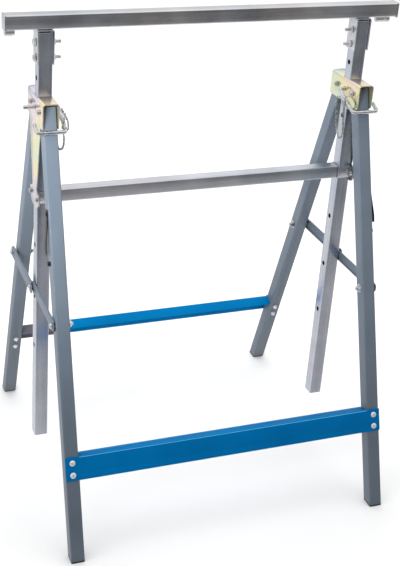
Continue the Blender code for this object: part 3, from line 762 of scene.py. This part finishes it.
# ---- head assembly
def tongue_edges(u, v):
    """Edges of the bracket's sheet at a place along its path."""
    if u < 0.0 or v > PLATE_BOTTOM - 0.0001:
        rise = min(max(v - PLATE_BOTTOM, 0.0), PLATE_CORNER)
        cut = PLATE_CORNER - math.sqrt(max(PLATE_CORNER ** 2 - (PLATE_CORNER - rise) ** 2, 0.0))
        half = BRACKET_HIGH.y - cut
    elif v > NECK_Z:
        share = max(SHOULDER_Z - v, 0.0) / (SHOULDER_Z - NECK_Z)
        half = SHOULDER_HALF + (NECK_HALF - SHOULDER_HALF) * share
    elif v > LOBE_Z:
        share = (NECK_Z - v) / (NECK_Z - LOBE_Z)
        half = NECK_HALF + (LOBE_HALF - NECK_HALF) * share * share * (3.0 - 2.0 * share)
    else:
        drop = (LOBE_Z - v) / (LOBE_Z - BRACKET_LOW.z)
        half = LOBE_HALF * (0.42 + 0.58 * math.sqrt(max(1.0 - drop * drop, 0.0)))
    return (-half, half)


def build_bracket(word, side):
    """Folded cap over the leg tops, whose outer plate runs down as a tongue past the middle bar."""
    edge = CHANNEL_HALF - SHEET / 2.0
    crown = BRACKET_HIGH.z - SHEET / 2.0
    bends = [math.radians(step) for step in range(0, 91, 15)]
    corner = [PLATE_BOTTOM + PLATE_CORNER * (1.0 - math.cos(bend)) for bend in bends]
    tongue = [0.6910, 0.6900, SHOULDER_Z, 0.6600, 0.6300, 0.6000]
    tongue += [NECK_Z - 0.0015 * step for step in range(7)]
    tongue += [LOBE_Z - LOBE_DROP * math.sin(math.radians(step)) for step in (*range(12, 73, 12), 82, 90)]
    path = [Vector((-edge, z, 0.0)) for z in corner[:-1]]
    path += flat_path(
        ((-edge, corner[-1]), (-edge, crown), (edge, crown), (edge, corner[-1])), 0.0045, 8,
        extras=[(edge, z) for z in corner[-2::-1] + tongue],
    )
    sheet = sheet_along(path, tongue_edges, across_y)
    wall = CHANNEL_HALF - SHEET - 0.00005
    opening = block((-wall, -0.0125, crown - 0.0052), (wall, 0.0125, crown + 0.01))
    places = [((0.0, pivot.y, PIN_Z), "X", BOLT_HOLE, THROUGH) for pivot in FOLD.values()]
    places.append(((0.0, 0.0, PIN_Z), "X", 0.0040, THROUGH))
    places += [((edge, y, MIDDLE_Z), "X", GUIDE_HOLE, 0.004) for y in (-GUIDE_BOLT_Y, GUIDE_BOLT_Y)]
    mesh = baked(sheet, (("DIFFERENCE", opening), ("DIFFERENCE", holes(places))), EASE)
    piece("bracket_" + word, mesh, YELLOW, "head", "head_bracket_" + word, seat(side))


def build_guide(word, side):
    """Folded strap round the post, bolted to the tongue by its two lugs."""
    web = GUIDE_LOW.x - SIDE_X + SHEET / 2.0
    lug = GUIDE_HIGH.x - SIDE_X - SHEET / 2.0
    arm = 0.0133
    tall = (GUIDE_HIGH.z - GUIDE_LOW.z) / 2.0
    corners = ((lug, GUIDE_LOW.y), (lug, -arm), (web, -arm), (web, arm), (lug, arm), (lug, GUIDE_HIGH.y))
    sheet = sheet_along(flat_path(corners, 0.0018), lambda u, v: (-tall, tall), axis_z)
    cut = holes([((lug, y, 0.0), "X", GUIDE_HOLE, 0.004) for y in (-GUIDE_BOLT_Y, GUIDE_BOLT_Y)])
    mesh = baked(sheet, (("DIFFERENCE", cut),), EASE)
    piece("guide_" + word, mesh, YELLOW, "head", "post_guide_" + word, seat(side, z=MIDDLE_Z))


def build_head_bolts(word, side):
    """Bolts that the legs turn on and bolts of the post guide."""
    face = CHANNEL_FACE
    for row_word, row in ROWS:
        head = domed_head(face, 0.0045, 0.0038, 0.0040, 0.0026)
        mesh = bolt_mesh(head, face, 0.0029, -face, (0.0050, 0.0032), -face - 0.0055)
        name = "leg_pivot_bolt_" + row_word + "_" + word
        piece("head_" + name, mesh, BOLT_ZINC, "head", name, seat(side, FOLD[row_word].y, PIN_Z))
        head = domed_head(face, 0.0042, 0.0040, 0.0037, 0.0022)
        mesh = bolt_mesh(head, face, 0.0024, 0.0103, (0.0046, 0.0040), 0.0047)
        name = "guide_bolt_" + row_word + "_" + word
        piece("head_" + name, mesh, BOLT_ZINC, "head", name, seat(side, row * GUIDE_BOLT_Y, MIDDLE_Z))


def build_head():
    build_bar("middle_tube", "middle_bar", TUBE_MIDDLE, "head")
    for word, side in SIDES:
        build_bracket(word, side)
        build_guide(word, side)
        build_head_bolts(word, side)


# ---- locking pins and chains
def build_pin(word, side):
    """Pin with its bent handle, the tip beyond the post and the ring for the chain."""
    body = "pin_" + word
    post_face = POST_SIZE / 2.0
    start = (SIDE_X - post_face - 0.0005, 0.0, 0.0)
    path = rounded_path((start,) + HANDLE, 0.0052, 10)
    path = [Vector((side * point.x, point.y, point.z)) for point in path]
    final = path.pop()
    heading = (final - path[-1]).normalized()
    radii = [PIN_RADIUS] * (len(path) + 1) + [PIN_RADIUS * 0.93, PIN_RADIUS * 0.72]
    path += [final - heading * 0.0010, final - heading * 0.0003, final]
    place = Matrix.Translation((0.0, 0.0, PIN_Z))
    piece("pin_handle_" + word, swept(path, radii, 24), BOLT_ZINC, body, "lock_pin_" + word, place)
    tip = node_box("lock_pin_end_right")[1].x
    end = turned((
        (SIDE_X + post_face + 0.0004, PIN_RADIUS), (tip - 0.0022, PIN_RADIUS),
        (tip - 0.0010, PIN_RADIUS * 0.90), (tip, PIN_RADIUS * 0.60),
    ))
    piece("pin_tip_" + word, end, BOLT_ZINC, body, "lock_pin_end_" + word, place @ facing(side))
    build_ring(word, side)


def build_ring(word, side):
    """Split ring of two turns of wire round the handle's inner limb."""
    radius, wire, lean = 0.0125, 0.0009, math.radians(22.0)
    limb = Vector((0.0, HANDLE[1][1], HANDLE[1][2])).normalized()
    upward = Vector((0.0, limb.z, -limb.y))
    level = limb * math.cos(lean) + Vector((side * math.sin(lean), 0.0, 0.0))
    flat = level.cross(upward)
    centre = Vector((side * HANDLE[1][0], 0.0, PIN_Z)) + limb * 0.0437 + upward * 0.0058
    path = []
    count = 96
    for step in range(count + 1):
        angle = 4.0 * math.pi * step / count
        lift = wire * 2.1 * (step / count - 0.5)
        path.append(centre + flat * lift + radius * (math.cos(angle) * level + math.sin(angle) * upward))
    piece("split_ring_" + word, swept(path, wire, 10), CHAIN_STEEL, "pin_" + word)


CHAIN_ROUTES = {
    "left": (
        (0.2684, 0.0185, 0.6950), (0.2655, 0.0150, 0.6820), (0.2620, 0.0040, 0.6560),
        (0.2595, -0.0110, 0.6440), (0.2580, -0.0260, 0.6490), (0.2585, -0.0390, 0.6630),
        (0.2610, -0.0470, 0.6800), (0.2636, -0.0470, 0.6905),
    ),
    "right": (
        (0.2684, 0.0185, 0.6950), (0.2655, 0.0150, 0.6850), (0.2630, 0.0060, 0.6660),
        (0.2615, -0.0040, 0.6420), (0.2605, -0.0190, 0.6290), (0.2585, -0.0320, 0.6430),
        (0.2560, -0.0310, 0.6780), (0.2560, -0.0310, 0.6975),
    ),
}
TAIL_ROUTE = (
    (0.2545, -0.0060, 0.7115), (0.2540, -0.0180, 0.7075), (0.2528, -0.0300, 0.7045),
    (0.2532, -0.0420, 0.7015), (0.2545, -0.0500, 0.6975), (0.2552, -0.0520, 0.6925),
    (0.2555, -0.0470, 0.6895),
)


def smooth_route(corners, steps):
    """Curve through every corner, with steps points from each one to the next."""
    path = [corners[0]]
    for index in range(len(corners) - 1):
        before = corners[max(index - 1, 0)]
        start = corners[index]
        end = corners[index + 1]
        after = corners[min(index + 2, len(corners) - 1)]
        for step in range(1, steps + 1):
            share = step / steps
            square, cube = share * share, share ** 3
            ease = 3.0 * square - 2.0 * cube
            leaving = (end - before) * 0.5 * (cube - 2.0 * square + share)
            arriving = (after - start) * 0.5 * (cube - square)
            path.append(start * (1.0 - ease) + end * ease + leaving + arriving)
    return path


def even_stations(path, spacing):
    """Points and headings at equal steps along a path."""
    stations, travelled, target = [], 0.0, spacing / 2.0
    for near, far in zip(path, path[1:]):
        length = (far - near).length
        while length and travelled + length >= target:
            stations.append((near.lerp(far, (target - travelled) / length), (far - near).normalized()))
            target += spacing
        travelled += length
    return stations


def chain_link(length, width, wire):
    """One oval link lying along local X, flat in XY."""
    bow = width / 2.0 - wire
    run = length / 2.0 - wire - bow
    path = []
    for centre, start in ((run, -90.0), (-run, 90.0)):
        for step in range(9):
            angle = math.radians(start + 180.0 * step / 8)
            path.append(Vector((centre + bow * math.cos(angle), bow * math.sin(angle), 0.0)))
    return swept(path, wire, 8, closed=True)


def link_row(corners):
    """Links threaded along a route, each turned a quarter from the last."""
    stations = even_stations(smooth_route(corners, 12), 0.0035)
    links = []
    for index, (point, heading) in enumerate(stations):
        turn = heading.to_track_quat("X", "Z").to_matrix().to_4x4()
        roll = Matrix.Rotation(math.radians(45.0 + 90.0 * (index % 2)), 4, "X")
        place = Matrix.Translation(point) @ turn @ roll
        links.append(moved(chain_link(0.0058, 0.0040, 0.00068), matrix=place))
    return joined(*links)


def build_chain(word, side):
    corners = [Vector((side * x, y, z)) for x, y, z in CHAIN_ROUTES[word]]
    item = piece("keeper_chain_" + word, link_row(corners), CHAIN_STEEL, None, "pin_chain_" + word)
    if side < 0:
        tail = link_row([Vector((side * x, y, z)) for x, y, z in TAIL_ROUTE])
        piece("keeper_chain_tail", tail, CHAIN_STEEL, "pin_" + word)
    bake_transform(item)


# ---- leg frames
def build_leg(suffix, body, place, down_to):
    tube = square_tube(LEG_HALF, LEG_CORNER, down_to(FOOT_HEIGHT + GAP), down_to(LEG_TOP), axis_z)
    places = [((0.0, 0.0, z), "X", BOLT_HOLE, 0.020) for z in (0.0, -STAY_DOWN)]
    places += [((0.0, 0.0, -down), "Y", SCREW_HOLE, 0.020) for down in CROSS_SCREWS.values()]
    mesh = baked(tube, (("DIFFERENCE", holes(places)),))
    piece("leg_tube_" + suffix, mesh, GREY, body, "leg_" + suffix, place)


def build_clip(word, body, place):
    """Spring strip riveted near its top and bent off the leg, with a stud below it."""
    stud = turned((
        (LEG_HALF - 0.0004, 0.0040), (LEG_HALF + 0.0038, 0.0040),
        (LEG_HALF + 0.0047, 0.0036), (LEG_HALF + 0.0050, 0.0026),
    ))
    piece("clip_stud_" + word, stud, SPRING, body, None, place @ Matrix.Translation((0.0, 0.0, -0.2474)))
    face = LEG_FACE + 0.0005
    rise, top, foot = 0.0055, -0.1580, -0.2320
    path = flat_path(((face, top), (face, -0.1720), (face + rise, -0.2180), (face + rise, foot)), 0.0080, 10)

    def edges(u, v):
        ease = min(1.0, (abs(v - top) + 0.0010) / 0.0035, (abs(v - foot) + 0.0012) / 0.0035)
        half = 0.0065 * (0.62 + 0.38 * math.sqrt(max(0.0, 1.0 - (1.0 - ease) ** 2)))
        return (-half, half)

    ends = [Vector((face, top - step * 0.0008, 0.0)) for step in range(5)]
    strip = sheet_along(ends + path[1:], edges, across_y, 0.0010)
    rivet = turned((
        (face - 0.0002, 0.0038), (face + 0.0011, 0.0038), (face + 0.0018, 0.0033), (face + 0.0022, 0.0020),
    ))
    mesh = baked(strip, (("UNION", moved(rivet, (0.0, 0.0, -0.1660))),), 0.0002)
    piece("spring_clip_" + word, mesh, SPRING, body, "transport_clip_" + word, place)


def build_foot(suffix, body, place, down_to):
    """Moulded plug: thin rounded rim below, plug inside the tube."""
    wide, plug = LEG_HALF + 0.0001, LEG_HALF - 0.0018
    rings = []
    for half, radius, height in (
        (wide - 0.0008, 0.0022, 0.0), (wide - 0.0002, 0.0026, 0.0003), (wide, LEG_CORNER + 0.0001, 0.0008),
        (wide, LEG_CORNER + 0.0001, FOOT_HEIGHT - 0.0002), (wide - 0.0002, 0.0026, FOOT_HEIGHT),
        (plug, 0.0010, FOOT_HEIGHT), (plug, 0.0010, FOOT_HEIGHT + 0.0200),
    ):
        cut = down_to(height)
        rings.append([(a, b, cut(a, b)) for a, b in rounded_rect(half, half, radius)])
    piece("foot_plug_" + suffix, skin(rings), BLACK, body, "foot_" + suffix, place)


def build_screw(suffix, body, place):
    """Pan-head screw with a cross recess, nut on the leg's inner face."""
    face = LEG_FACE + SHEET + GAP
    head = turned((
        (face, 0.0050), (face + 0.0003, 0.0052), (face + 0.0011, 0.0050), (face + 0.0018, 0.0044),
        (face + 0.0023, 0.0034), (face + 0.0026, 0.0018),
    ), 40)
    arm, thin = 0.0027, 0.0006
    cross = []
    for a, b in ((1, 1), (-1, 1), (-1, -1), (1, -1)):
        corner = ((a * arm, b * thin), (a * thin, b * thin), (a * thin, b * arm))
        cross += corner if a * b > 0 else corner[::-1]
    recess = skin([[(x, y, z) for y, z in cross] for x in (face + 0.0009, face + 0.0040)])
    head_mesh = baked(head, (("DIFFERENCE", recess),))
    whole = bmesh.new()
    whole.from_mesh(head_mesh)
    bpy.data.meshes.remove(head_mesh)
    rear = -LEG_FACE
    shank = turned(((face + 0.0002, 0.0021), (rear - 0.0002, 0.0021)))
    nut = turned(hex_head(rear, 0.0046, 0.0032, -1.0))
    tip = threaded(rear - 0.0030, rear - 0.0058, 0.0022, 0.0008)
    mesh = joined(whole, shank, nut, tip)
    piece("bar_screw_" + suffix, mesh, SCREW_ZINC, body, "cross_screw_" + suffix, place)


def build_stay_bolt(suffix, row, body, place):
    """Bolt of a stay; at the back a collar fills the room to the stay."""
    head = 0.0163 if row < 0 else 0.0208
    collar = ()
    if row > 0:
        collar = (
            (head - 0.0021, 0.0030), (head - 0.0021, 0.0057), (head - 0.0024, 0.0060),
            (LEG_FACE + 0.0003, 0.0060), (LEG_FACE, 0.0057), (LEG_FACE, 0.0030),
        )
    sections = domed_head(head, 0.0050, 0.0040, 0.0044, 0.0028)
    nut, washer = (0.0056, 0.0038), (0.0085, 0.0010)
    mesh = bolt_mesh(sections, head, 0.0030, -LEG_FACE, nut, -LEG_FACE - 0.0079, washer, collar)
    piece("frame_stay_bolt_" + suffix, mesh, BOLT_ZINC, body, "stay_bolt_" + suffix, place)


def build_cross_bar(row_word, row, body, base):
    """Pressed angle with a rounded fold; the web runs on across the legs."""
    near = LEG_FACE
    far = near + SHEET
    top = -CROSS_TOP - 0.0002
    bend = 0.0022
    crown = top - SHEET / 2.0
    centre_y = (near + far) / 2.0
    corners = ((centre_y, -CROSS_BOTTOM + 0.012), (centre_y, crown), (far - CROSS_FLANGE, crown))
    half_x = CROSS_FLANGE_HALF_X

    def across_x(u, v, w):
        return (w, row * u, v)

    path = flat_path(corners, bend, 8)
    angle = sheet_along(path, lambda u, v: (-half_x, half_x), across_x, SHEET - 0.0001)
    tall = (CROSS_BOTTOM - CROSS_TOP) / 2.0
    centre = -(CROSS_TOP + CROSS_BOTTOM) / 2.0
    outline = rounded_rect(CROSS_HALF_X[row_word], tall, 0.0020)
    web = skin([[(x, row * y, centre + z) for x, z in outline] for y in (near, far)])
    low_y, high_y = sorted((row * (near - 0.01), row * (far + 0.01)))
    shave = block((-half_x, low_y, top - bend - 0.0008), (half_x, high_y, top + 0.01))
    spots = [(x, row * near, -down) for x in (-SCREW_X, SCREW_X) for down in CROSS_SCREWS.values()]
    cut = holes([(spot, "Y", SCREW_HOLE, 0.006) for spot in spots])
    mesh = baked(web, (("DIFFERENCE", shave), ("UNION", angle), ("DIFFERENCE", cut)), 0.0004)
    piece("cross_bar_" + row_word, mesh, BLUES[row_word], body, row_word + "_cross_bar", base)


def build_frame(row_word, row):
    """Two splayed legs with their fittings and the bar across them."""
    body = row_word + "_frame"
    splay = row * SPLAY
    base = Matrix.Translation(FOLD[row_word]) @ Matrix.Rotation(splay, 4, "X")

    def down_to(height):
        return lambda a, b: (height - PIN_Z - b * math.sin(splay)) / math.cos(splay)

    for word, side in SIDES:
        suffix = row_word + "_" + word
        place = base @ Matrix.Translation((side * SIDE_X, 0.0, 0.0))
        build_leg(suffix, body, place, down_to)
        if row < 0:
            build_clip(word, body, base @ seat(side))
        build_foot(suffix, body, place, down_to)
        build_stay_bolt(suffix, row, body, base @ seat(side, z=-STAY_DOWN))
        for level, down in CROSS_SCREWS.items():
            spot = base @ Matrix.Translation((side * SCREW_X, 0.0, -down))
            build_screw(level + "_" + suffix, body, spot @ Matrix.Rotation(row * math.pi / 2.0, 4, "Z"))
    build_cross_bar(row_word, row, body, base)


# ---- folding stays
def build_link(row_word, row, word, side):
    """Pressed strip with turned lips and round ends, from its leg to the middle."""
    low, high = node_box("stay_" + row_word + "_right")
    half = (high.z - low.z) / 2.0
    web = high.x - SIDE_X - SHEET / 2.0
    lip = low.x - SIDE_X
    edge = half - SHEET / 2.0

    def reach(u, v):
        bulge = math.sqrt(max(half * half - v * v, 0.0))
        if row < 0:
            return (-bulge, STAY_LENGTH + bulge)
        return (-STAY_LENGTH - bulge, bulge)

    flat = flat_path(((lip, -edge), (web, -edge), (web, edge), (lip, edge)), 0.0013, 5)
    middle = len(flat) // 2
    rise = [edge * math.sin(math.radians(angle)) for angle in range(-70, 71, 10)]
    inner = [Vector((web, v, 0.0)) for v in rise if abs(v) < abs(flat[middle].y) - 0.0001]
    sheet = sheet_along(flat[:middle] + inner + flat[middle:], reach, across_y)
    cut = holes([((web, y, 0.0), "X", BOLT_HOLE, 0.004) for y in (0.0, -row * STAY_LENGTH)])
    mesh = baked(sheet, (("DIFFERENCE", cut),), 0.0002)
    if side < 0:
        mesh.transform(Matrix.Scale(-1.0, 4, (1.0, 0.0, 0.0)))
        mesh.flip_normals()
    place = Matrix.Translation((side * SIDE_X, STAY[row_word].y, STAY[row_word].z))
    name = row_word + "_" + word
    piece("link_" + name, mesh, GREY, row_word + "_links", "stay_" + name, place)


def build_stays():
    for word, side in SIDES:
        for row_word, row in ROWS:
            build_link(row_word, row, word, side)
        rivet = turned((
            (0.0228, 0.0022), (0.0226, 0.0034), (0.0220, 0.0045), (0.0213, 0.0050),
            (0.0208, 0.0050), (0.0208, 0.0030), (0.0163, 0.0030),
        ))
        place = seat(side, z=STAY["back"].z)
        piece("mid_rivet_" + word, rivet, BOLT_ZINC, "back_links", "stay_rivet_" + word, place)


# ---- stage, lights and camera
# brightness of the surround against height, from straight down (0) to straight up (1)
FRONT_LEVELS = (
    (0.0, 0.85), (0.19, 0.66), (0.25, 0.48), (0.30, 0.30), (0.345, 0.11),
    (0.38, 0.16), (0.45, 0.12), (0.60, 0.16), (0.75, 0.50), (0.90, 0.95),
)
SIDE_LEVELS = ((0.0, 0.90), (0.35, 0.85), (0.50, 0.62), (0.65, 0.85), (1.0, 1.05))


def build_floor():
    half = 9.0
    data = bmesh.new()
    corners = ((-half, -half), (half, -half), (half, half), (-half, half))
    data.faces.new([data.verts.new((x, y, -0.0002)) for x, y in corners])
    floor = in_scene("studio_floor", to_mesh("studio_floor", data))
    floor.data.materials.append(floor_material())
    floor.visible_glossy = False


def area_light(name, place, target, size, energy, spread=180.0):
    lamp = bpy.data.lights.new(name, "AREA")
    lamp.shape = "RECTANGLE"
    lamp.size, lamp.size_y = size
    lamp.energy = energy
    lamp.spread = math.radians(spread)
    item = in_scene(name, lamp)
    item.visible_glossy = False
    item.location = place
    item.rotation_euler = (Vector(target) - Vector(place)).to_track_quat("-Z", "Y").to_euler()


def build_world():
    """Pale studio surround: bright above and to the sides, dim straight ahead of the object."""
    world = bpy.data.worlds.new("studio")
    world.use_nodes = True
    tree = world.node_tree
    source = tree.nodes.new("ShaderNodeTexCoord")
    direction = axes_of(tree, source.outputs["Generated"])
    height = remap(tree, direction["Z"], 0.0, 1.0, -1.0, 1.0)
    ahead = remap(tree, direction["Y"], 1.0, 0.0, -0.75, -0.30)
    dim = ramp(tree, height, [(position, grey(level)) for position, level in FRONT_LEVELS])
    bright = ramp(tree, height, [(position, grey(level)) for position, level in SIDE_LEVELS])
    seen = tree.nodes.new("ShaderNodeLightPath").outputs["Is Camera Ray"]
    surround = mix_colour(tree, ahead, bright, dim)
    background = tree.nodes["Background"]
    tree.links.new(mix_colour(tree, seen, surround, grey(0.90)), background.inputs["Color"])
    background.inputs["Strength"].default_value = 1.0
    bpy.context.scene.world = world


def build_camera():
    """Three-quarter view from the front left, looking down."""
    azimuth, elevation, roll = (math.radians(angle) for angle in (-20.305, 24.401, 3.312))
    level = Vector((math.cos(azimuth), math.sin(azimuth), 0.0))
    ahead = Vector((-math.sin(azimuth), math.cos(azimuth), 0.0))
    forward = ahead * math.cos(elevation) - Vector((0.0, 0.0, math.sin(elevation)))
    upright = level.cross(forward)
    right = level * math.cos(roll) + upright * math.sin(roll)
    up = upright * math.cos(roll) - level * math.sin(roll)
    lens = bpy.data.cameras.new("camera")
    lens.sensor_width = 36.0
    lens.lens = 71.63
    lens.shift_x = 0.0770
    lens.shift_y = -0.1136
    camera = in_scene("camera", lens)
    turn = Matrix((right, up, -forward)).transposed().to_4x4()
    camera.matrix_world = Matrix.Translation((-0.7086, -1.7118, 1.3203)) @ turn
    bpy.context.scene.camera = camera


build_camera()
build_world()
build_floor()
area_light("overhead", (0.2, 0.5, 2.6), (0.0, 0.0, 0.3), (2.6, 2.2), 26.0)
area_light("left_side", (-2.4, -0.3, 1.3), (0.0, 0.0, 0.4), (1.6, 1.8), 12.0)
area_light("left_front", (-0.90, -0.75, 0.98), (-0.30, -0.05, 0.82), (0.5, 0.5), 5.0, 70.0)
area_light("rear_floor", (0.6, 3.2, 2.6), (0.4, 1.6, 0.0), (3.0, 2.0), 30.0)
bpy.context.scene.view_settings.view_transform = "Standard"

build_top()
build_head()
for side_word, side_sign in SIDES:
    build_pin(side_word, side_sign)
    build_chain(side_word, side_sign)
for frame_word, frame_row in ROWS:
    build_frame(frame_word, frame_row)
build_stays()
